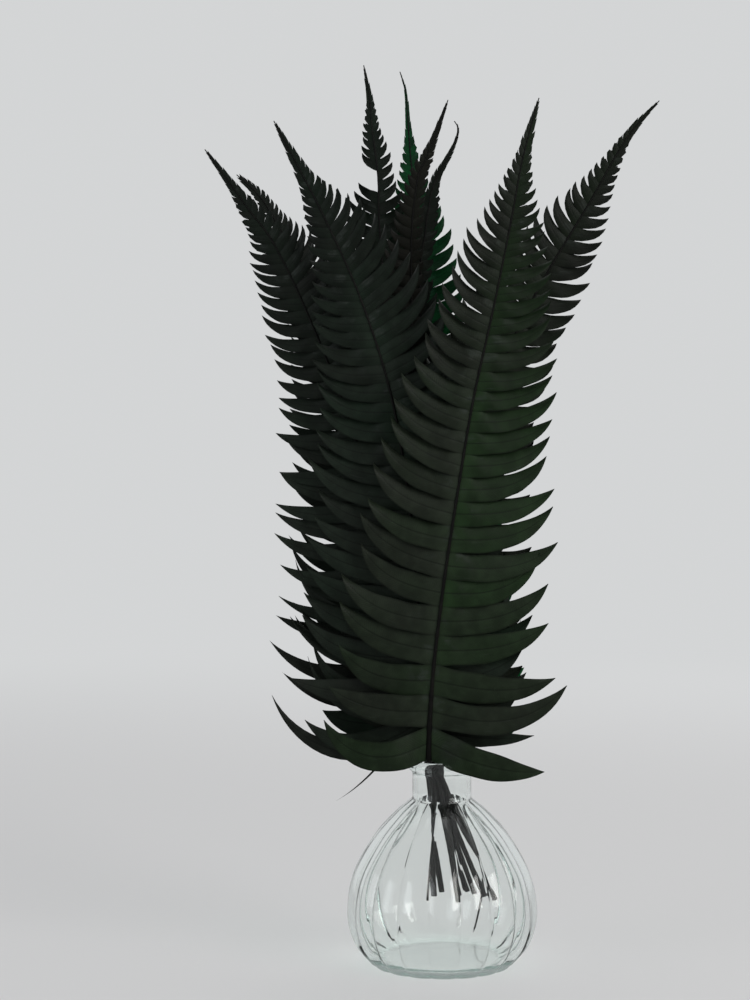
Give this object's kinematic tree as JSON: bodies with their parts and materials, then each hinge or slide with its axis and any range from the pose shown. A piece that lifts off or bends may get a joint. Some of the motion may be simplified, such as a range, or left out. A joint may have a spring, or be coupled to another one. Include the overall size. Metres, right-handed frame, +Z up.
{
  "type": "bunch of preserved fern fronds in a glass bud vase",
  "caption": "Bunch of dark green preserved fern fronds standing upright in a fluted clear glass bud vase with a narrow neck.",
  "frame": {"origin": "centre of the flat underside of the vase", "axes": "+Z up along the vase, -Y towards the front of the bunch, +X to its right"},
  "size_m": [0.262, 0.1171, 0.533],
  "materials": {
    "clear_glass": "clear, polished, faint green tint",
    "deep_green_leaf": "satin, dyed dark green",
    "grey_green_leaf": "satin, dyed grey green",
    "brown_black_leaf": "satin, dyed brown black",
    "emerald_leaf": "satin, dyed green, lets light through"
  },
  "bodies": {
    "root": {"glass_vase": "clear_glass", "frond_front": "deep_green_leaf", "frond_left_inner": "grey_green_leaf", "frond_left_outer": "grey_green_leaf", "frond_right": "deep_green_leaf", "frond_middle": "brown_black_leaf", "frond_hooked": "grey_green_leaf", "frond_left_back": "grey_green_leaf", "frond_back_tall": "grey_green_leaf", "frond_back": "emerald_leaf"}
  },
  "joints": []
}
